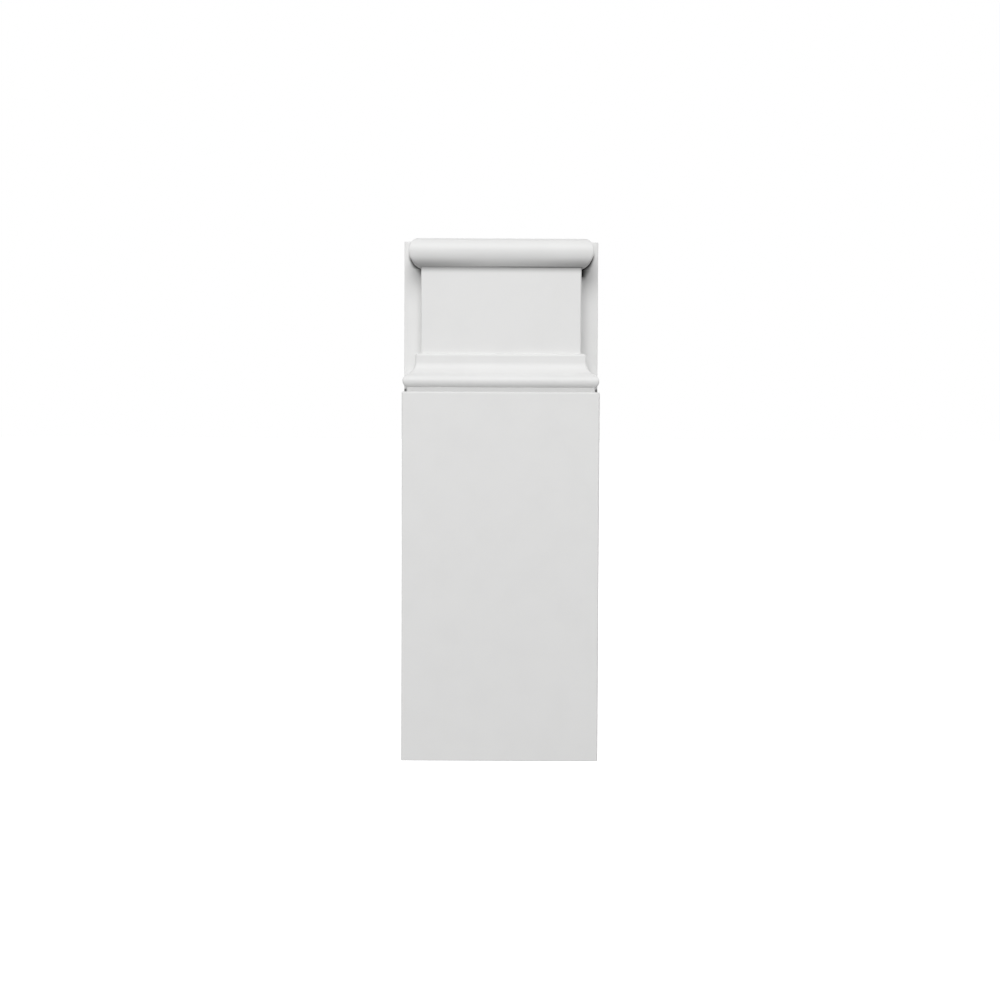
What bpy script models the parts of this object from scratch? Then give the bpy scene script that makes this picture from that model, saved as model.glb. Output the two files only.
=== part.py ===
"""Plinth block of a door surround, cast in one piece: a tall plain block, a base moulding, a
flat die and a rounded cap, which stand on a thinner back plate and return to it at both sides.

Metres, +Z up. The front faces -Y, the flat back faces +Y and the block stands on Z = 0.
A projection is how far a moulding stands out past the die, to the front and to each side.
"""

import math

import bmesh
import bpy

# Block, which is as wide as the back plate
BLOCK_WIDTH = 0.098
BLOCK_DEPTH = 0.032
BLOCK_HEIGHT = 0.1838
BLOCK_PROJECTION = 0.009
BLOCK_TOP_ROUND = 0.0008

# Back plate behind the mouldings
PLATE_DEPTH = 0.009

# Base moulding, from the groove over the block up to the foot of the die
GROOVE_PROJECTION = 0.0068
BEAD_RISE = 0.0053
BEAD_RADIUS = 0.0035
BEAD_PROJECTION = 0.0087
OGEE_HEIGHT = 0.0097
FILLET_PROJECTION = 0.0025
FILLET_HEIGHT = 0.0042
FILLET_ROUND = 0.0013

# Die, the flat panel between the mouldings
DIE_HEIGHT = 0.0430

# Cap: a round on its front and its ends under a flat top
CAP_HEIGHT = 0.0140
CAP_RADIUS = 0.008
CAP_PROJECTION = 0.006
CAP_SHOULDER = 0.0012

# Softened upright corners, and the steps in a quarter turn
CORNER_RADIUS = 0.0008
ARC_STEPS = 10
CORNER_STEPS = 3

# Points nearer than this are one point, and edges that turn more than this stay sharp
SAME_POINT = 1e-6
SHARP_FROM = math.radians(30)

COLOUR = (0.84, 0.84, 0.835, 1.0)
ROUGHNESS = 0.5

QUARTER = math.pi / 2


def clear_scene():
    """Take away whatever the scene starts with."""
    for item in list(bpy.data.objects):
        bpy.data.objects.remove(item, do_unlink=True)


def arc(centre, radii, start, end):
    """Points (projection, height) along an elliptic arc. Angle 0 is outwards, and a quarter turn is up."""
    steps = max(2, round(ARC_STEPS * abs(end - start) / QUARTER))
    points = []
    for step in range(steps + 1):
        angle = start + (end - start) * step / steps
        points.append((centre[0] + radii[0] * math.cos(angle), centre[1] + radii[1] * math.sin(angle)))
    return points


def block_profile():
    """The block's plain face with its rounded top edge."""
    centre = (BLOCK_PROJECTION - BLOCK_TOP_ROUND, BLOCK_HEIGHT - BLOCK_TOP_ROUND)
    return [(BLOCK_PROJECTION, 0.0)] + arc(centre, (BLOCK_TOP_ROUND, BLOCK_TOP_ROUND), 0.0, QUARTER)


def bead_profile(foot):
    """The groove and the bead's round underside, from where it leaves the groove up to its nose."""
    centre = (BEAD_PROJECTION - BEAD_RADIUS, foot + BEAD_RISE)
    start = math.acos((GROOVE_PROJECTION - centre[0]) / BEAD_RADIUS)
    return [(GROOVE_PROJECTION, foot)] + arc(centre, (BEAD_RADIUS, BEAD_RADIUS), -start, 0.0)


def ogee_profile(nose):
    """The bead's upper side and the hollow that ends upright under the fillet, two arcs with one tangent."""
    run = BEAD_PROJECTION - FILLET_PROJECTION
    turn = 2 * math.atan2(run, OGEE_HEIGHT)
    hollow_radius = OGEE_HEIGHT / math.sin(turn) - BEAD_RADIUS
    bead_centre = (BEAD_PROJECTION - BEAD_RADIUS, nose)
    hollow_centre = (FILLET_PROJECTION + hollow_radius, nose + OGEE_HEIGHT)
    bead = arc(bead_centre, (BEAD_RADIUS, BEAD_RADIUS), 0.0, turn)
    hollow = arc(hollow_centre, (hollow_radius, hollow_radius), math.pi + turn, math.pi)
    return bead[1:] + hollow[1:]


def fillet_profile(foot):
    """The flat fillet, its rounded upper edge and the shelf back to the die."""
    top = foot + FILLET_HEIGHT
    centre = (FILLET_PROJECTION - FILLET_ROUND, top - FILLET_ROUND)
    return arc(centre, (FILLET_ROUND, FILLET_ROUND), 0.0, QUARTER) + [(0.0, top)]


def cap_profile(foot):
    """The cap's round: a circular underside up to its nose, then a tighter shoulder to the flat top."""
    setback = max(0.0, CAP_RADIUS - CAP_PROJECTION)
    spring = math.acos(setback / CAP_RADIUS)
    nose = foot + CAP_RADIUS * math.sin(spring)
    top = foot + CAP_HEIGHT
    underside = arc((CAP_PROJECTION - CAP_RADIUS, nose), (CAP_RADIUS, CAP_RADIUS), -spring, 0.0)
    shoulder = arc((CAP_SHOULDER, nose), (CAP_PROJECTION - CAP_SHOULDER, top - nose), 0.0, QUARTER)
    return underside + shoulder[1:]


def whole_profile():
    """All points (projection, height) from the floor to the top."""
    points = block_profile()
    points += bead_profile(points[-1][1])
    points += ogee_profile(points[-1][1])
    points += fillet_profile(points[-1][1])
    points += cap_profile(points[-1][1] + DIE_HEIGHT)
    return points


def section(projection):
    """Outline of the piece at one height: the plate at the back and the moulding in front of it."""
    back = BLOCK_DEPTH / 2
    plate_side = BLOCK_WIDTH / 2
    side = plate_side - BLOCK_PROJECTION + projection
    plate_front = back - PLATE_DEPTH
    front = -back + BLOCK_PROJECTION - projection
    right = [(plate_side, back), (plate_side, plate_front), (side, plate_front)]
    for step in range(CORNER_STEPS + 1):
        angle = QUARTER * step / CORNER_STEPS
        across = side - CORNER_RADIUS * (1 - math.cos(angle))
        right.append((across, front + CORNER_RADIUS * (1 - math.sin(angle))))
    left = [(-x, y) for x, y in reversed(right)]
    return right + left


def primed_white():
    """Matt white factory primer."""
    material = bpy.data.materials.new("primed_white")
    material.use_nodes = True
    shader = material.node_tree.nodes["Principled BSDF"]
    shader.inputs["Base Color"].default_value = COLOUR
    shader.inputs["Roughness"].default_value = ROUGHNESS
    shader.inputs["Metallic"].default_value = 0.0
    return material


def plinth_block():
    """Stack the sections up the profile, skin them and close both ends."""
    model = bmesh.new()
    rings = []
    for projection, height in whole_profile():
        rings.append([model.verts.new((x, y, height)) for x, y in section(projection)])
    for lower, upper in zip(rings, rings[1:]):
        for place in range(len(lower)):
            after = (place + 1) % len(lower)
            model.faces.new((lower[place], lower[after], upper[after], upper[place]))
    model.faces.new(rings[0])
    model.faces.new(rings[-1])
    bmesh.ops.remove_doubles(model, verts=model.verts, dist=SAME_POINT)
    bmesh.ops.recalc_face_normals(model, faces=model.faces)
    mesh = bpy.data.meshes.new("plinth_block")
    model.to_mesh(mesh)
    model.free()
    mesh.shade_smooth()
    mesh.set_sharp_from_angle(angle=SHARP_FROM)
    mesh.materials.append(primed_white())
    piece = bpy.data.objects.new("plinth_block", mesh)
    bpy.context.scene.collection.objects.link(piece)
    return piece


clear_scene()
plinth_block()
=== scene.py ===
"""Looks of a door surround's plinth block: the finely moulded casting, its white primer and a small studio.

Metres, +Z up. The block's front faces -Y and its back lies against the wall at +Y.
A projection is how far a moulding stands out past the die, to the front and to each side.
"""

import math

import bmesh
import bpy
from bpy.props import FloatProperty, FloatVectorProperty, IntProperty, PointerProperty
from mathutils import Matrix, Vector


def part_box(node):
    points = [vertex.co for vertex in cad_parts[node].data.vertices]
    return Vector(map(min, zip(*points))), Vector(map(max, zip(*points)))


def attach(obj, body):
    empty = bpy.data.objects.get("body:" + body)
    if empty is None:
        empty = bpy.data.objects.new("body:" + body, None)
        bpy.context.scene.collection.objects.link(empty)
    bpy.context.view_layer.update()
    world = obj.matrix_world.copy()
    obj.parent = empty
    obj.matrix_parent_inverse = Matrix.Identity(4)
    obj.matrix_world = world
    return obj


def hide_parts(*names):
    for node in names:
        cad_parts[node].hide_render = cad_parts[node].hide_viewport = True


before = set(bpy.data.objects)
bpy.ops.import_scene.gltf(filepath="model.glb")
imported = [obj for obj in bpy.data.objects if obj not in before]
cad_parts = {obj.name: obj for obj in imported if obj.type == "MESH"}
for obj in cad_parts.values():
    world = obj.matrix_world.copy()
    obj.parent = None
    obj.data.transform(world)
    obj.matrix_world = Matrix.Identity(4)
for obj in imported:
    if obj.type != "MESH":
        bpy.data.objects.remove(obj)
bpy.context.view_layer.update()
BLOCK_LOW, BLOCK_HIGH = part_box("plinth_block")
BLOCK_SIZE = BLOCK_HIGH - BLOCK_LOW

bl_info = {
    "name": "Door surround plinth block",
    "version": (1, 0, 0),
    "blender": (4, 5, 0),
    "location": "View3D > Sidebar > Plinth Block",
    "description": "Makes a moulded plinth block with its primer, and a studio to look at it in",
    "category": "Add Mesh",
}

QUARTER = math.pi / 2

# Points nearer than this are one point, and edges that turn more than this stay sharp
SAME_POINT = 2e-6
SHARP_FROM = math.radians(35)

# The floor's half width in metres, and its dull finish
FLOOR_REACH = 40.0
FLOOR_ROUGHNESS = 0.9
FLOOR_SHEEN = 0.1

# The piece's left and right ends, this far from its middle, have different painted shade
END = 0.04

# Painted shade on the plate's face, on what stands before it and a little way on the side walls between them
PLATE_FACE = (-0.0006, -0.0001)
BEFORE_PLATE = (0.0005, 0.002)
SIDE_WIDTH = 0.0012
SIDE_DENSITY = 0.3

# Painted shade in the corner of cap and plate, over the cap's foot and under it, with its rise in heights of
# the cap's nose
CORNER_RISE = 1.5
CORNER_DROP = 0.0075
CORNER_DROP_POWER = 2.0
CORNER_OVER_LEFT = 1.4
CORNER_UNDER_LEFT = 0.9
CORNER_RIGHT = 2.6
CORNER_WIDTH = 0.0042
CORNER_FAR_WIDTH = 0.002
CORNER_TAPER = 0.004
CORNER_RIGHT_LEVELS = (-0.0004, 0.0012)
CORNER_RIGHT_WIDER = 0.002
CORNER_RIGHT_FULL = 0.0008

# Painted shade along the root beside the die and the mouldings, which only the left end has
ROOT_LEFT = 0.06
ROOT_WIDTH = 0.003

# Painted shade in the joint under the cap, on the die just below it and on the cap's underside, whose rise is
# in heights of its nose
JOINT_LEFT = 0.28
JOINT_RIGHT = 0.68
JOINT_WIDTH = 0.0007
EAVES_DENSITY = 0.35
EAVES_DROP = 0.0035
UNDERSIDE_MIDDLE = 0.12
UNDERSIDE_ENDS = 0.41
UNDERSIDE_HALF = 0.045
UNDERSIDE_RISE = 0.65

# Painted shade in the groove: its middle in heights of the groove, and where the shade thins out as shares of
# that middle
GROOVE_DENSITY = 0.2
GROOVE_END_DENSITY = 0.75
GROOVE_END_WIDTHS = (0.0025, 0.006)
GROOVE_MIDDLE = 0.4
GROOVE_EDGES = (0.8, 1.6)

# The spray's grain lies mostly between these values
GRAIN_LOW = 0.3
GRAIN_HIGH = 0.7


def length(name, description, default):
    """A length in metres that a user can change."""
    return FloatProperty(
        name=name, description=description, default=default, min=0.0, unit="LENGTH", precision=4,
    )


def angle(name, description, degrees):
    """An angle that a user can change, with its default in degrees."""
    return FloatProperty(
        name=name, description=description, default=math.radians(degrees), subtype="ANGLE",
    )


def strength(name, description, default):
    """A number from 0 upwards that a user can change."""
    return FloatProperty(name=name, description=description, default=default, min=0.0)


def factor(name, description, default):
    """A share from 0 to 1 that a user can change."""
    return FloatProperty(
        name=name, description=description, default=default, min=0.0, max=1.0, subtype="FACTOR",
    )


def steps(name, description, default):
    """A number of steps that a user can change."""
    return IntProperty(name=name, description=description, default=default, min=2)


def tint(name, description, red, green, blue):
    """A colour that a user can change."""
    return FloatVectorProperty(
        name=name, description=description, subtype="COLOR", size=4, min=0.0, max=1.0,
        default=(red, green, blue, 1.0),
    )


class BlockSizes(bpy.types.PropertyGroup):
    """Sizes of the casting. The overall ones come from the CAD part's box in model.glb, and the die takes the
    height left.
    """

    width: length("Width", "Width of the block and of the back plate", BLOCK_SIZE.x)
    depth: length("Depth", "Wall to the block's front", BLOCK_SIZE.y)
    height: length("Height", "Floor to the cap's flat top", BLOCK_SIZE.z)
    plate_depth: length("Plate depth", "Thickness of the back plate", 0.009)
    block_height: length("Block height", "Floor to the block's top edge", 0.1838)
    block_projection: length("Block projection", "Block's front past the die", 0.009)
    block_top_round: length("Block top round", "Radius of the block's upper edge", 0.0008)
    groove_projection: length("Groove projection", "Bottom of the groove past the die", 0.0068)
    bead_rise: length("Bead rise", "Block's top edge to the bead's nose", 0.0053)
    bead_radius: length("Bead radius", "Radius of the bead", 0.0035)
    bead_projection: length("Bead projection", "Nose of the bead past the die", 0.0087)
    ogee_height: length("Ogee height", "Bead's nose to the fillet's lower edge", 0.0097)
    fillet_projection: length("Fillet projection", "Fillet past the die", 0.0025)
    fillet_height: length("Fillet height", "Fillet's lower edge to its shelf", 0.0042)
    fillet_round: length("Fillet round", "Radius of the fillet's upper edge", 0.0013)
    cap_height: length("Cap height", "Top of the die to the flat top", 0.014)
    cap_radius: length("Cap radius", "Radius of the cap's underside", 0.008)
    cap_projection: length("Cap projection", "Nose of the cap past the die", 0.006)
    cap_shoulder: length("Cap shoulder", "Edge of the flat top past the die", 0.0012)
    corner_radius: length("Corner radius", "Radius of the upright corners", 0.0008)
    soft_edge: length("Soft edge", "Width of the softening on the casting's edges", 0.0004)
    arc_steps: steps("Arc steps", "Steps in a quarter turn of a profile", 24)
    edge_steps: steps("Edge steps", "Steps in a quarter turn of a soft edge", 4)
    corner_steps: steps("Corner steps", "Points on an upright corner", 5)


class PrimerLook(bpy.types.PropertyGroup):
    """The white factory primer."""

    colour: tint("Colour", "Colour of the clean primer", 0.84, 0.84, 0.835)
    thin_colour: tint("Thin colour", "Colour where the primer lies thin", 0.825, 0.825, 0.82)
    thin_from: factor("Thin from", "Part of the patches where the primer starts to thin", 0.35)
    thin_full: factor("Thin full", "Part of the patches where it is thinnest", 0.75)
    patches: strength("Patches", "Thin patches in a metre", 60.0)
    back_colour: tint("Back colour", "Colour of the cast on the unsprayed back", 0.81, 0.805, 0.79)
    # Near-black colour that paints shade into the sheltered corners and the groove
    painted_shade_colour: tint("Painted shade colour", "Colour of the shade painted into the sheltered corners", 0.02, 0.02, 0.02)
    grain_size: length("Grain size", "Width of the spray's grain", 0.0007)
    grain_depth: length("Grain depth", "Depth of the spray's grain", 0.00001)
    wave_size: length("Wave size", "Width of the casting's faint waves", 0.014)
    wave_depth: length("Wave depth", "Depth of the casting's faint waves", 0.00006)
    nib_size: length("Nib size", "Width of the primer's small nibs", 0.0006)
    nib_height: length("Nib height", "Height of the primer's small nibs", 0.00005)
    nib_spacing: length("Nib spacing", "Cell in which one nib may stand", 0.006)
    nib_share: factor("Nib share", "Share of the cells that have a nib", 0.1)
    smoothest: factor("Smoothest", "Lowest roughness", 0.42)
    roughest: factor("Roughest", "Highest roughness of the primer", 0.6)
    back_roughness: factor("Back roughness", "Roughness of the unsprayed back", 0.72)
    # Roughness of the primer where shade is painted into the corners
    painted_shade_roughness: factor("Painted shade roughness", "Roughness where the shade is painted", 0.9)


class StudioLook(bpy.types.PropertyGroup):
    """Camera, light and floor. A light's strength of 1 is that of a white sky."""

    camera_distance: length("Camera distance", "Camera to the wall plane", 0.9)
    camera_height: length("Camera height", "Camera over the floor", 0.1636)
    camera_side: FloatProperty(
        name="Camera side", description="Camera to the right of the middle", default=-0.00017,
        unit="LENGTH", precision=5,
    )
    camera_lens: FloatProperty(name="Lens", description="Focal length in millimetres", default=63.1, min=1.0)
    camera_tilt: angle("Tilt", "How far the camera looks down", 2.2)
    camera_roll: angle("Roll", "How far the camera leans to the left", 0.25)
    key_strength: strength("Key strength", "Strength of the key light", 0.52)
    key_side: angle("Key side", "Key light's turn to the left", 3.0)
    key_rise: angle("Key rise", "Key light's angle over the block", 38.0)
    key_size: length("Key size", "Width of the key light", 1.0)
    side_strength: strength("Side strength", "Strength of the soft light from the left", 0.14)
    side_turn: angle("Side turn", "Side light's turn to the left", 32.0)
    side_rise: angle("Side rise", "Side light's angle over the block", 20.0)
    back_strength: strength("Back strength", "Strength of the soft light from behind", 0.42)
    back_turn: angle("Back turn", "Back light's turn to the right", 140.0)
    back_rise: angle("Back rise", "Back light's angle over the block", 15.0)
    side_size: length("Side size", "Width of the side light and of the back light", 1.6)
    light_distance: length("Light distance", "Each light to the block", 2.0)
    ambient: strength("Ambient", "Strength of the light from all round", 0.38)
    floor_colour: tint("Floor colour", "Colour of the pale floor", 0.92, 0.92, 0.92)
    floor_glow: strength("Floor glow", "Light that the lit table adds", 0.8)


def feed(tree, socket, value):
    """Links a socket into an input, or sets the input to a plain value."""
    if isinstance(value, bpy.types.NodeSocket):
        tree.links.new(value, socket)
    else:
        socket.default_value = value


def add(tree, kind, inputs=None, **settings):
    """A node with its settings, and each input given as a value or as the socket that feeds it."""
    made = tree.nodes.new(kind)
    for name, value in settings.items():
        setattr(made, name, value)
    for key, value in (inputs or {}).items():
        feed(tree, made.inputs[key], value)
    return made


def maths(tree, operation, first, second=0.0):
    """The result of one sum on two numbers or sockets."""
    return add(tree, "ShaderNodeMath", {0: first, 1: second}, operation=operation).outputs[0]


def arc(centre, radii, start, end, steps_in_quarter):
    """Points (projection, height) along an elliptic arc. Angle 0 is outwards, and a quarter turn is up."""
    count = max(2, round(steps_in_quarter * abs(end - start) / QUARTER))
    points = []
    for step in range(count + 1):
        turn = start + (end - start) * step / count
        points.append((centre[0] + radii[0] * math.cos(turn), centre[1] + radii[1] * math.sin(turn)))
    return points


def block_profile(sizes):
    """The block's plain face with its rounded top edge."""
    radius = sizes.block_top_round
    centre = (sizes.block_projection - radius, sizes.block_height - radius)
    return [(sizes.block_projection, 0.0)] + arc(centre, (radius, radius), 0.0, QUARTER, sizes.arc_steps)


def bead_profile(sizes, foot):
    """The groove and the bead's round underside, from where it leaves the groove up to its nose."""
    radius = sizes.bead_radius
    centre = (sizes.bead_projection - radius, foot + sizes.bead_rise)
    start = math.acos((sizes.groove_projection - centre[0]) / radius)
    return [(sizes.groove_projection, foot)] + arc(centre, (radius, radius), -start, 0.0, sizes.arc_steps)


def ogee_profile(sizes, nose):
    """The bead's upper side and the hollow that ends upright under the fillet, two arcs with one tangent."""
    run = sizes.bead_projection - sizes.fillet_projection
    turn = 2 * math.atan2(run, sizes.ogee_height)
    bead_radius = sizes.bead_radius
    hollow_radius = sizes.ogee_height / math.sin(turn) - bead_radius
    bead_centre = (sizes.bead_projection - bead_radius, nose)
    hollow_centre = (sizes.fillet_projection + hollow_radius, nose + sizes.ogee_height)
    bead = arc(bead_centre, (bead_radius, bead_radius), 0.0, turn, sizes.arc_steps)
    hollow = arc(hollow_centre, (hollow_radius, hollow_radius), math.pi + turn, math.pi, sizes.arc_steps)
    return bead[1:] + hollow[1:]


def fillet_profile(sizes, foot):
    """The flat fillet, its rounded upper edge and the shelf back to the die."""
    top = foot + sizes.fillet_height
    radius = sizes.fillet_round
    centre = (sizes.fillet_projection - radius, top - radius)
    return arc(centre, (radius, radius), 0.0, QUARTER, sizes.arc_steps) + [(0.0, top)]


def cap_profile(sizes):
    """The cap's round: a circular underside up to its nose, then a tighter shoulder to the flat top."""
    radius = sizes.cap_radius
    setback = max(0.0, radius - sizes.cap_projection)
    spring = math.acos(setback / radius)
    nose = sizes.height - sizes.cap_height + radius * math.sin(spring)
    under = arc((sizes.cap_projection - radius, nose), (radius, radius), -spring, 0.0, sizes.arc_steps)
    reach = sizes.cap_projection - sizes.cap_shoulder
    shoulder = arc((sizes.cap_shoulder, nose), (reach, sizes.height - nose), 0.0, QUARTER, sizes.arc_steps)
    return under + shoulder[1:]


def whole_profile(sizes):
    """All points (projection, height) from the floor to the top."""
    points = block_profile(sizes)
    points += bead_profile(sizes, points[-1][1])
    points += ogee_profile(sizes, points[-1][1])
    points += fillet_profile(sizes, points[-1][1])
    return points + cap_profile(sizes)


def softened_ends(points, sizes):
    """Points (projection, draw-in, height). The outline draws in at both ends, to soften their edges."""
    soft = sizes.soft_edge
    foot = arc((0.0, soft), (soft, soft), -QUARTER, 0.0, sizes.edge_steps)
    rows = [(points[0][0], soft - across, height) for across, height in foot]
    for projection, height in points[1:]:
        rise = min(soft, max(0.0, height - sizes.height + soft))
        draw_in = soft - math.sqrt(soft * soft - rise * rise)
        rows.append((projection + draw_in, draw_in, height))
    return rows


def profile_mesh(rows):
    """The profile as a chain of edges: X is the projection, Y the draw-in and Z the height."""
    mesh = bpy.data.meshes.new("moulding_profile")
    mesh.from_pydata(rows, [(n, n + 1) for n in range(len(rows) - 1)], [])
    return mesh


def pick(tree, choices, kind="VECTOR"):
    """A value for each corner of the outline, in the order of the choices, which are values or sockets."""
    index = add(tree, "GeometryNodeInputIndex").outputs[0]
    switch = add(tree, "GeometryNodeIndexSwitch", {"Index": index}, data_type=kind)
    while len(switch.index_switch_items) < len(choices):
        switch.index_switch_items.new()
    for number, choice in enumerate(choices):
        feed(tree, switch.inputs[number + 1], choice)
    return switch.outputs[0]


def vector(tree, x=0.0, y=0.0, z=0.0):
    """A vector from three numbers or sockets."""
    return add(tree, "ShaderNodeCombineXYZ", {"X": x, "Y": y, "Z": z}).outputs[0]


def split(tree, value):
    """The three parts of a vector, as sockets called X, Y and Z."""
    return add(tree, "ShaderNodeSeparateXYZ", {"Vector": value}).outputs


def scaled(tree, value, times):
    """A vector times a number."""
    return add(tree, "ShaderNodeVectorMath", {0: value, "Scale": times}, operation="SCALE").outputs[0]


def difference(tree, first, second):
    """The first vector less the second."""
    return add(tree, "ShaderNodeVectorMath", {0: first, 1: second}, operation="SUBTRACT").outputs[0]


def total(tree, *values):
    """The sum of vectors."""
    result = values[0]
    for value in values[1:]:
        result = add(tree, "ShaderNodeVectorMath", {0: result, 1: value}, operation="ADD").outputs[0]
    return result


def keep(tree, geometry, name, value, kind):
    """Stores a value on the points under a name."""
    return add(
        tree, "GeometryNodeStoreNamedAttribute", {"Geometry": geometry, "Name": name, "Value": value},
        data_type=kind, domain="POINT",
    ).outputs[0]


def kept(tree, name, kind):
    """Reads a value that was stored on the points."""
    return add(tree, "GeometryNodeInputNamedAttribute", {"Name": name}, data_type=kind).outputs[0]


def section_outline(tree, given):
    """The outline at the die's height, closed and round again, with what its corners do at other heights.

    Its corners run from the back at the right over the plate's edge, the root and the front to the left.
    """
    half = maths(tree, "MULTIPLY", given["Width"], 0.5)
    back = maths(tree, "MULTIPLY", given["Depth"], 0.5)
    plate_front = maths(tree, "SUBTRACT", back, given["Plate Depth"])
    side = maths(tree, "SUBTRACT", half, given["Block Projection"])
    front = maths(tree, "SUBTRACT", given["Block Projection"], back)
    wall = maths(tree, "SUBTRACT", plate_front, front)
    round_edge = maths(tree, "ADD", given["Block Projection"], given["Plate Depth"])
    places = [(half, back), (half, plate_front), (side, plate_front), (side, front)]
    corners = [vector(tree, x, y) for x, y in places]
    corners += [vector(tree, maths(tree, "MULTIPLY", x, -1.0), y) for x, y in reversed(places)]
    still = (0.0, 0.0, 0.0)
    reaches = [still, still, (1, 0, 0), (1, -1, 0), (-1, -1, 0), (-1, 0, 0), still, still]
    inward = [(-1, -1, 0), (-1, 1, 0), (-1, 1, 0), (-1, 1, 0), (1, 1, 0), (1, 1, 0), (1, 1, 0), (1, -1, 0)]
    # How far each corner lies from the root, and how that grows with the projection
    apart = [
        vector(tree, round_edge, -1.0),
        vector(tree, given["Block Projection"], -1.0),
        still,
        vector(tree, wall, 1.0),
    ]
    radii = [given["Soft Edge"], given["Soft Edge"], 0.0, given["Corner Radius"]]
    shrinking = [0.0, 1.0, 0.0, 0.0]
    line = add(tree, "GeometryNodeMeshLine", {"Count": len(corners)}).outputs[0]
    sharp = pick(tree, corners)
    shape = add(tree, "GeometryNodeSetPosition", {"Geometry": line, "Position": sharp}).outputs[0]
    shape = keep(tree, shape, "sharp", sharp, "FLOAT_VECTOR")
    shape = keep(tree, shape, "reach", pick(tree, reaches), "FLOAT_VECTOR")
    shape = keep(tree, shape, "inward", pick(tree, inward), "FLOAT_VECTOR")
    shape = keep(tree, shape, "apart", pick(tree, apart + apart[::-1]), "FLOAT_VECTOR")
    shape = keep(tree, shape, "radius", pick(tree, radii + radii[::-1], "FLOAT"), "FLOAT")
    shape = keep(tree, shape, "shrinking", pick(tree, shrinking + shrinking[::-1], "FLOAT"), "FLOAT")
    curve = add(tree, "GeometryNodeMeshToCurve", {"Mesh": shape}).outputs[0]
    closed = add(tree, "GeometryNodeSetSplineCyclic", {"Geometry": curve, "Cyclic": True}).outputs[0]
    return add(
        tree, "GeometryNodeFilletCurve",
        {"Curve": closed, "Count": given["Corner Steps"], "Radius": kept(tree, "radius", "FLOAT")},
        mode="POLY",
    ).outputs[0]


def carried(tree, given, row, read):
    """Where a point of the outline goes at one row of the profile; read fetches what the outline keeps."""
    parts = split(tree, row)
    room = maths(tree, "SUBTRACT", given["Block Projection"], parts["X"])
    share = add(
        tree, "ShaderNodeMapRange",
        {"Value": room, "From Min": 0.0, "From Max": maths(tree, "MULTIPLY", given["Soft Edge"], 2.0)},
    ).outputs[0]
    lost = maths(tree, "MULTIPLY", read("shrinking", "FLOAT"), maths(tree, "SUBTRACT", 1.0, share))
    sharp = read("sharp", "FLOAT_VECTOR")
    rounding = difference(tree, read("position", "FLOAT_VECTOR"), sharp)
    return total(
        tree, sharp,
        scaled(tree, rounding, maths(tree, "SUBTRACT", 1.0, lost)),
        scaled(tree, read("reach", "FLOAT_VECTOR"), parts["X"]),
        scaled(tree, read("inward", "FLOAT_VECTOR"), parts["Y"]),
        vector(tree, z=parts["Z"]),
    )


def end_face(tree, given, outline, row, flip):
    """The flat face that closes the stack at one end of the profile."""

    def read(name, kind):
        if name == "position":
            return add(tree, "GeometryNodeInputPosition").outputs[0]
        return kept(tree, name, kind)

    lift = vector(tree, z=split(tree, row)["Z"])
    here = difference(tree, carried(tree, given, row, read), lift)
    grown = add(tree, "GeometryNodeSetPosition", {"Geometry": outline, "Position": here}).outputs[0]
    filled = add(tree, "GeometryNodeFillCurve", {"Curve": grown}, mode="NGONS").outputs[0]
    moved = add(tree, "GeometryNodeTransform", {"Geometry": filled, "Translation": lift}).outputs[0]
    marked = keep(tree, moved, "crease", 1.0, "FLOAT")
    return add(tree, "GeometryNodeFlipFaces", {"Mesh": marked}).outputs[0] if flip else marked


def sample(tree, geometry, value, index, kind="FLOAT_VECTOR"):
    """A point's value, read from another geometry by its index."""
    return add(
        tree, "GeometryNodeSampleIndex", {"Geometry": geometry, "Value": value, "Index": index},
        data_type=kind, domain="POINT",
    ).outputs[0]


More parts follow.
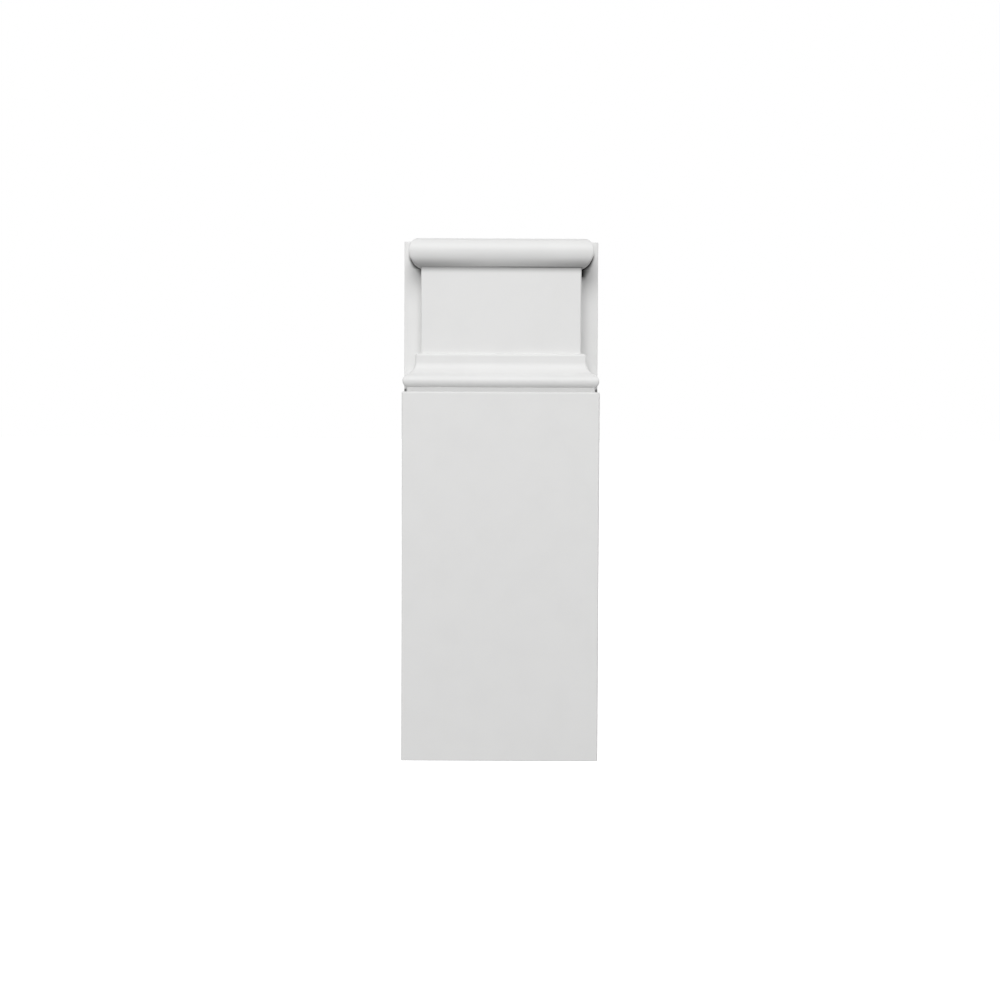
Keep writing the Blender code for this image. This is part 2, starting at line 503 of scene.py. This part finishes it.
def stacked_sections():
    """Geometry nodes that carry a profile round the die and back to the plate, with mitred corners."""
    tree = bpy.data.node_groups.new("stacked_sections", "GeometryNodeTree")
    sockets = [("Profile", "NodeSocketGeometry")]
    sockets += [(name, "NodeSocketFloat") for name in
                ("Width", "Depth", "Block Projection", "Plate Depth", "Corner Radius", "Soft Edge")]
    sockets += [("Corner Steps", "NodeSocketInt"), ("Finish", "NodeSocketMaterial")]
    for name, kind in sockets:
        tree.interface.new_socket(name, in_out="INPUT", socket_type=kind)
    tree.interface.new_socket("Piece", in_out="OUTPUT", socket_type="NodeSocketGeometry")
    given = add(tree, "NodeGroupInput").outputs
    outline = section_outline(tree, given)
    position = add(tree, "GeometryNodeInputPosition").outputs[0]
    rows = add(tree, "GeometryNodeAttributeDomainSize", {"Geometry": given["Profile"]}, component="MESH")
    around = add(tree, "GeometryNodeAttributeDomainSize", {"Geometry": outline}, component="CURVE")
    count, loop = rows.outputs["Point Count"], around.outputs["Point Count"]
    columns = maths(tree, "ADD", loop, 1.0)
    grid = add(tree, "GeometryNodeMeshGrid", {"Vertices X": count, "Vertices Y": columns}).outputs[0]
    index = add(tree, "GeometryNodeInputIndex").outputs[0]
    level = maths(tree, "FLOOR", maths(tree, "DIVIDE", maths(tree, "ADD", index, 0.5), columns))
    along = maths(tree, "SUBTRACT", index, maths(tree, "MULTIPLY", level, columns))
    place = maths(tree, "MODULO", along, loop)
    row = sample(tree, given["Profile"], position, level)

    def read(name, kind):
        value = position if name == "position" else kept(tree, name, kind)
        return sample(tree, outline, value, place, kind)

    there = carried(tree, given, row, read)
    skin = add(tree, "GeometryNodeSetPosition", {"Geometry": grid, "Position": there}).outputs[0]
    apart = split(tree, read("apart", "FLOAT_VECTOR"))
    crease = maths(tree, "ADD", apart["X"], maths(tree, "MULTIPLY", apart["Y"], split(tree, row)["X"]))
    skin = keep(tree, skin, "crease", crease, "FLOAT")
    first = sample(tree, given["Profile"], position, 0)
    last = sample(tree, given["Profile"], position, maths(tree, "SUBTRACT", count, 1.0))
    joined = add(tree, "GeometryNodeJoinGeometry")
    foot = end_face(tree, given, outline, first, True)
    top = end_face(tree, given, outline, last, False)
    for part in (skin, foot, top):
        tree.links.new(part, joined.inputs[0])
    merged = add(
        tree, "GeometryNodeMergeByDistance", {"Geometry": joined.outputs[0], "Distance": SAME_POINT},
    ).outputs[0]
    real = add(tree, "GeometryNodeRealizeInstances", {"Geometry": merged}).outputs[0]
    finished = add(tree, "GeometryNodeSetMaterial", {"Geometry": real, "Material": given["Finish"]})
    add(tree, "NodeGroupOutput", {"Piece": finished.outputs[0]})
    return tree


def set_inputs(modifier, values):
    """Sets a Geometry Nodes modifier's inputs, found by their names."""
    for item in modifier.node_group.interface.items_tree:
        if item.in_out == "INPUT" and item.name in values:
            modifier[item.identifier] = values[item.name]


def freeze(piece):
    """Turns what the modifiers show into the object's plain mesh, and takes them away."""
    shown = piece.evaluated_get(bpy.context.evaluated_depsgraph_get())
    mesh = bpy.data.meshes.new_from_object(shown)
    piece.modifiers.clear()
    piece.data = mesh


def fade(tree, value, near, far, first=1.0, last=0.0):
    """A smooth change from the first value at near to the last value at far."""
    return add(
        tree, "ShaderNodeMapRange",
        {"Value": value, "From Min": near, "From Max": far, "To Min": first, "To Max": last},
        interpolation_type="SMOOTHSTEP",
    ).outputs[0]


def product(tree, *values):
    """The product of numbers or sockets."""
    result = values[0]
    for value in values[1:]:
        result = maths(tree, "MULTIPLY", result, value)
    return result


def largest(tree, *values):
    """The largest of numbers or sockets."""
    result = values[0]
    for value in values[1:]:
        result = maths(tree, "MAXIMUM", result, value)
    return result


def lean(tree, right, at_left, at_right):
    """A value that changes from the piece's left end, where right is 0, to its right end, where it is 1."""
    return fade(tree, right, 0.0, 1.0, at_left, at_right)


def cap_corner_shade(tree, crease, over, nose, right):
    """Painted shade where the cap meets the plate: densest in the corner beside the die, and wider at the
    right.
    """
    above = fade(tree, over, 0.0, product(tree, nose, CORNER_RISE))
    above = product(tree, above, lean(tree, right, CORNER_OVER_LEFT, CORNER_RIGHT))
    below = maths(tree, "POWER", fade(tree, over, -CORNER_DROP, 0.0, 0.0, 1.0), CORNER_DROP_POWER)
    below = product(tree, below, lean(tree, right, CORNER_UNDER_LEFT, CORNER_RIGHT))
    density = maths(tree, "MINIMUM", maths(tree, "MINIMUM", above, below), 1.0)
    away = maths(tree, "ABSOLUTE", over)
    width = fade(tree, away, 0.0, CORNER_TAPER, CORNER_WIDTH, CORNER_FAR_WIDTH)
    spread = product(tree, right, fade(tree, over, *CORNER_RIGHT_LEVELS))
    reach = maths(tree, "ADD", width, product(tree, spread, CORNER_RIGHT_WIDER))
    return product(tree, density, fade(tree, crease, product(tree, spread, CORNER_RIGHT_FULL), reach))


def root_shade_line(tree, given, right):
    """A faint line of painted shade along the root, where the mouldings over the groove meet the plate."""
    line = fade(tree, given["Crease"], 0.0, ROOT_WIDTH, lean(tree, right, ROOT_LEFT, 0.0), 0.0)
    return product(tree, line, maths(tree, "GREATER_THAN", given["Height"], given["Groove High"]))


def cap_underside_shade(tree, across, over, nose, right):
    """Painted shade in the joint under the cap, a little way down the die and over the cap's underside."""
    away = maths(tree, "ABSOLUTE", over)
    joint = fade(tree, away, 0.0, JOINT_WIDTH, lean(tree, right, JOINT_LEFT, JOINT_RIGHT), 0.0)
    eaves = fade(tree, over, -EAVES_DROP, 0.0, 0.0, EAVES_DENSITY)
    eaves = product(tree, eaves, maths(tree, "LESS_THAN", over, 0.0))
    side = maths(tree, "ABSOLUTE", across)
    roof = fade(tree, side, 0.0, UNDERSIDE_HALF, UNDERSIDE_MIDDLE, UNDERSIDE_ENDS)
    roof = product(tree, roof, fade(tree, over, 0.0, product(tree, nose, UNDERSIDE_RISE)))
    roof = product(tree, roof, maths(tree, "GREATER_THAN", over, 0.0))
    return largest(tree, joint, eaves, roof)


def groove_shade(tree, given, ledge, standing):
    """Painted shade in the groove under the bead, densest at its ends on the plate."""
    height = maths(tree, "SUBTRACT", given["Groove High"], given["Groove Low"])
    half = product(tree, height, GROOVE_MIDDLE)
    middle = maths(tree, "ADD", given["Groove Low"], half)
    away = maths(tree, "ABSOLUTE", maths(tree, "SUBTRACT", given["Height"], middle))
    near, far = (product(tree, half, edge) for edge in GROOVE_EDGES)
    ends = product(tree, fade(tree, given["Crease"], *GROOVE_END_WIDTHS), ledge, GROOVE_END_DENSITY)
    density = largest(tree, ends, product(tree, standing, GROOVE_DENSITY))
    return product(tree, density, fade(tree, away, near, far))


def painted_shade_group():
    """Shader nodes that paint shade where light reaches badly: under the cap and in the groove.

    A density of 1 hides the primer, and a higher one makes the part that is hidden wider.
    """
    tree = bpy.data.node_groups.new("painted_corner_shade", "ShaderNodeTree")
    names = (
        "Crease", "Across", "Depth", "Height",
        "Cap Foot", "Cap Nose", "Groove Low", "Groove High", "Plate Front",
    )
    for name in names:
        tree.interface.new_socket(name, in_out="INPUT", socket_type="NodeSocketFloat")
    tree.interface.new_socket("Painted Shade", in_out="OUTPUT", socket_type="NodeSocketFloat")
    given = add(tree, "NodeGroupInput").outputs
    proud = maths(tree, "SUBTRACT", given["Plate Front"], given["Depth"])
    standing = fade(tree, proud, *BEFORE_PLATE, 0.0, 1.0)
    ledge = fade(tree, proud, *PLATE_FACE, 0.0, 1.0)
    ledge = product(tree, ledge, fade(tree, proud, 0.0, SIDE_WIDTH, 1.0, SIDE_DENSITY))
    over = maths(tree, "SUBTRACT", given["Height"], given["Cap Foot"])
    nose = maths(tree, "SUBTRACT", given["Cap Nose"], given["Cap Foot"])
    right = fade(tree, given["Across"], -END, END, 0.0, 1.0)
    corner = cap_corner_shade(tree, given["Crease"], over, nose, right)
    lines = product(tree, largest(tree, corner, root_shade_line(tree, given, right)), ledge)
    under = product(tree, cap_underside_shade(tree, given["Across"], over, nose, right), standing)
    groove = groove_shade(tree, given, ledge, standing)
    add(tree, "NodeGroupOutput", {"Painted Shade": largest(tree, lines, under, groove)})
    return tree


def painted_shade(tree, place, sizes):
    """The painted shade group in a material, fed with the places on the piece and the sizes that it needs."""
    points = cap_profile(sizes)
    nose = max(points, key=lambda point: point[0])
    used = add(tree, "ShaderNodeGroup", node_tree=painted_shade_group())
    measures = {
        "Crease": add(tree, "ShaderNodeAttribute", attribute_name="crease").outputs["Fac"],
        "Across": place["X"],
        "Depth": place["Y"],
        "Height": place["Z"],
        "Cap Foot": sizes.height - sizes.cap_height,
        "Cap Nose": nose[1],
        "Groove Low": sizes.block_height,
        "Groove High": bead_profile(sizes, sizes.block_height)[1][1],
        "Plate Front": sizes.depth / 2 - sizes.plate_depth,
    }
    for name, value in measures.items():
        feed(tree, used.inputs[name], value)
    return used.outputs[0]


def blended(tree, share, first, second):
    """The first colour where the share is 0, and the second where it is 1."""
    mixed = add(tree, "ShaderNodeMix", {"Factor": share, "A": first, "B": second}, data_type="RGBA")
    return mixed.outputs["Result"]


def noise(tree, where, scale, detail):
    """A noise pattern of so many waves in a metre."""
    return add(tree, "ShaderNodeTexNoise", {"Vector": where, "Scale": scale, "Detail": detail}).outputs[0]


def nibs(tree, where, look):
    """Small nibs of primer, one in some of the cells."""
    cells = {"Vector": where, "Scale": 1 / look.nib_spacing, "Randomness": 1.0}
    spots = add(tree, "ShaderNodeTexVoronoi", cells)
    nib = fade(tree, spots.outputs["Distance"], 0.0, look.nib_size / look.nib_spacing)
    chosen = add(tree, "ShaderNodeSeparateColor", {"Color": spots.outputs["Color"]}).outputs[0]
    return product(tree, nib, maths(tree, "GREATER_THAN", chosen, 1 - look.nib_share))


def bump(tree, height, distance, under=None):
    """A bump over the one under it."""
    made = add(tree, "ShaderNodeBump", {"Height": height, "Distance": distance})
    if under:
        tree.links.new(under, made.inputs["Normal"])
    return made.outputs[0]


def primer(look, sizes):
    """White factory primer on a cast: fine spray grain, faint waves, thin places and shade painted into the
    corners.
    """
    material = bpy.data.materials.new("primed_white")
    material.use_nodes = True
    tree = material.node_tree
    shader = tree.nodes["Principled BSDF"]
    where = add(tree, "ShaderNodeTexCoord").outputs["Object"]
    place = split(tree, where)
    grain = noise(tree, where, 1 / look.grain_size, detail=3.0)
    wave = noise(tree, where, 1 / look.wave_size, detail=2.0)
    patch = noise(tree, where, look.patches, detail=4.0)
    shade_mask = painted_shade(tree, place, sizes)
    thin = fade(tree, patch, look.thin_from, look.thin_full, 0.0, 1.0)
    back = fade(tree, place["Y"], sizes.depth / 2 - sizes.soft_edge, sizes.depth / 2, 0.0, 1.0)
    clean = blended(tree, thin, look.colour, look.thin_colour)
    clean = blended(tree, back, clean, look.back_colour)
    # Painted shade: the near-black colour blended into the primer under the cap, in its corners and in the
    # groove
    tree.links.new(blended(tree, shade_mask, clean, look.painted_shade_colour), shader.inputs["Base Color"])
    rough = add(tree, "ShaderNodeMapRange", {
        "Value": grain,
        "From Min": GRAIN_LOW,
        "From Max": GRAIN_HIGH,
        "To Min": look.smoothest,
        "To Max": look.roughest,
    }).outputs[0]
    # The primer is rougher where the shade is painted
    shaded_roughness = product(tree, shade_mask, look.painted_shade_roughness)
    unsprayed = product(tree, back, look.back_roughness)
    tree.links.new(largest(tree, rough, shaded_roughness, unsprayed), shader.inputs["Roughness"])
    waves = bump(tree, wave, look.wave_depth)
    lumps = bump(tree, nibs(tree, where, look), look.nib_height, waves)
    tree.links.new(bump(tree, grain, look.grain_depth, lumps), shader.inputs["Normal"])
    return material


class CastPlinthBlock(bpy.types.Operator):
    """Make the plinth block: one casting with its mouldings returned to the back plate"""

    bl_idname = "plinth.cast_block"
    bl_label = "Cast Plinth Block"

    def execute(self, context):
        sizes = context.scene.plinth_sizes
        piece = bpy.data.objects.new("plinth_block_casting", self.profile(sizes))
        context.scene.collection.objects.link(piece)
        stack = piece.modifiers.new("sections", "NODES")
        stack.node_group = stacked_sections()
        set_inputs(stack, {
            "Width": sizes.width,
            "Depth": sizes.depth,
            "Block Projection": sizes.block_projection,
            "Plate Depth": sizes.plate_depth,
            "Corner Radius": sizes.corner_radius,
            "Soft Edge": sizes.soft_edge,
            "Corner Steps": sizes.corner_steps,
            "Finish": primer(context.scene.plinth_primer, sizes),
        })
        freeze(piece)
        self.shade(piece)
        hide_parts("plinth_block")
        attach(piece, "root")
        return {"FINISHED"}

    def profile(self, sizes):
        """The moulding's profile with softened ends, as a mesh."""
        return profile_mesh(softened_ends(whole_profile(sizes), sizes))

    def shade(self, piece):
        """Turns the faces outwards, and keeps the flats flat in the light beside the small roundings."""
        shell = bmesh.new()
        shell.from_mesh(piece.data)
        bmesh.ops.recalc_face_normals(shell, faces=shell.faces)
        shell.to_mesh(piece.data)
        shell.free()
        piece.data.shade_smooth()
        piece.data.set_sharp_from_angle(angle=SHARP_FROM)
        level = piece.modifiers.new("flat_light", "WEIGHTED_NORMAL")
        level.keep_sharp = True
        freeze(piece)


class SetStudio(bpy.types.Operator):
    """Set the pale floor, the soft light and the camera"""

    bl_idname = "plinth.set_studio"
    bl_label = "Set Studio"

    def execute(self, context):
        look = context.scene.plinth_studio
        self.lay_floor(context, look)
        self.hang_lights(context, look)
        self.light_room(context, look)
        self.place_camera(context, look)
        context.scene.view_settings.view_transform = "Standard"
        return {"FINISHED"}

    def lay_floor(self, context, look):
        """A wide lit table top, which the camera sees and which throws nothing back at the block."""
        reach = FLOOR_REACH
        corners = [(-reach, -reach, 0.0), (reach, -reach, 0.0), (reach, reach, 0.0), (-reach, reach, 0.0)]
        mesh = bpy.data.meshes.new("floor")
        mesh.from_pydata(corners, [], [(0, 1, 2, 3)])
        material = bpy.data.materials.new("pale_floor")
        material.use_nodes = True
        shader = material.node_tree.nodes["Principled BSDF"]
        shader.inputs["Base Color"].default_value = look.floor_colour
        shader.inputs["Roughness"].default_value = FLOOR_ROUGHNESS
        shader.inputs["Specular IOR Level"].default_value = FLOOR_SHEEN
        shader.inputs["Emission Color"].default_value = (1.0, 1.0, 1.0, 1.0)
        shader.inputs["Emission Strength"].default_value = look.floor_glow
        mesh.materials.append(material)
        floor = bpy.data.objects.new("floor", mesh)
        context.scene.collection.objects.link(floor)
        floor.visible_diffuse = False
        floor.visible_glossy = False

    def hang_lights(self, context, look):
        """A large soft key from above the front, a weak light from the left and one from behind."""
        lights = (
            ("key_light", -look.key_side, look.key_rise, look.key_size, look.key_strength),
            ("side_light", -look.side_turn, look.side_rise, look.side_size, look.side_strength),
            ("back_light", look.back_turn, look.back_rise, look.side_size, look.back_strength),
        )
        for light in lights:
            self.hang_light(context, look.light_distance, *light)

    def hang_light(self, context, distance, name, turn, rise, size, level):
        """A square light that faces the block. A strength of 1 lights what faces it as a white sky would."""
        lamp = bpy.data.lights.new(name, "AREA")
        lamp.size = size
        lamp.energy = level * math.pi ** 2 * distance ** 2
        toward = Vector((math.sin(turn) * math.cos(rise), -math.cos(turn) * math.cos(rise), math.sin(rise)))
        light = bpy.data.objects.new(name, lamp)
        light.location = Vector((0.0, 0.0, BLOCK_SIZE.z / 2)) + toward * distance
        light.rotation_euler = toward.to_track_quat("Z", "Y").to_euler()
        context.scene.collection.objects.link(light)

    def light_room(self, context, look):
        """Even light from all round, in front of a white ground."""
        world = bpy.data.worlds.new("room")
        context.scene.world = world
        world.use_nodes = True
        tree = world.node_tree
        seen = add(tree, "ShaderNodeLightPath").outputs["Is Camera Ray"]
        level = add(tree, "ShaderNodeMix", {"Factor": seen, "A": look.ambient, "B": 1.0}).outputs["Result"]
        ground = tree.nodes["Background"]
        ground.inputs["Color"].default_value = (1.0, 1.0, 1.0, 1.0)
        tree.links.new(level, ground.inputs["Strength"])

    def place_camera(self, context, look):
        """The camera stands square before the block, a little over its middle."""
        tilt = Matrix.Rotation(QUARTER - look.camera_tilt, 4, "X")
        roll = Matrix.Rotation(look.camera_roll, 4, "Z")
        lens = bpy.data.cameras.new("camera")
        lens.lens = look.camera_lens
        camera = bpy.data.objects.new("camera", lens)
        place = Vector((look.camera_side, BLOCK_HIGH.y - look.camera_distance, look.camera_height))
        camera.matrix_world = Matrix.Translation(place) @ tilt @ roll
        context.scene.collection.objects.link(camera)
        context.scene.camera = camera


class PlinthPanel(bpy.types.Panel):
    """Sizes, finish and studio of the plinth block."""

    bl_idname = "VIEW3D_PT_plinth_block"
    bl_label = "Plinth Block"
    bl_space_type = "VIEW_3D"
    bl_region_type = "UI"
    bl_category = "Plinth Block"

    def draw(self, context):
        scene = context.scene
        for group, operator in (
            (scene.plinth_sizes, CastPlinthBlock),
            (scene.plinth_primer, None),
            (scene.plinth_studio, SetStudio),
        ):
            box = self.layout.box()
            for name in group.__annotations__:
                box.prop(group, name)
            if operator:
                box.operator(operator.bl_idname)


CLASSES = (BlockSizes, PrimerLook, StudioLook, CastPlinthBlock, SetStudio, PlinthPanel)


def register():
    """Registers the classes and hangs the settings on the scene."""
    for item in CLASSES:
        bpy.utils.register_class(item)
    bpy.types.Scene.plinth_sizes = PointerProperty(type=BlockSizes)
    bpy.types.Scene.plinth_primer = PointerProperty(type=PrimerLook)
    bpy.types.Scene.plinth_studio = PointerProperty(type=StudioLook)


def unregister():
    """Takes the settings and the classes away again."""
    del bpy.types.Scene.plinth_studio
    del bpy.types.Scene.plinth_primer
    del bpy.types.Scene.plinth_sizes
    for item in reversed(CLASSES):
        bpy.utils.unregister_class(item)


def main():
    """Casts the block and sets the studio."""
    register()
    bpy.ops.plinth.cast_block()
    bpy.ops.plinth.set_studio()


if __name__ == "__main__":
    main()
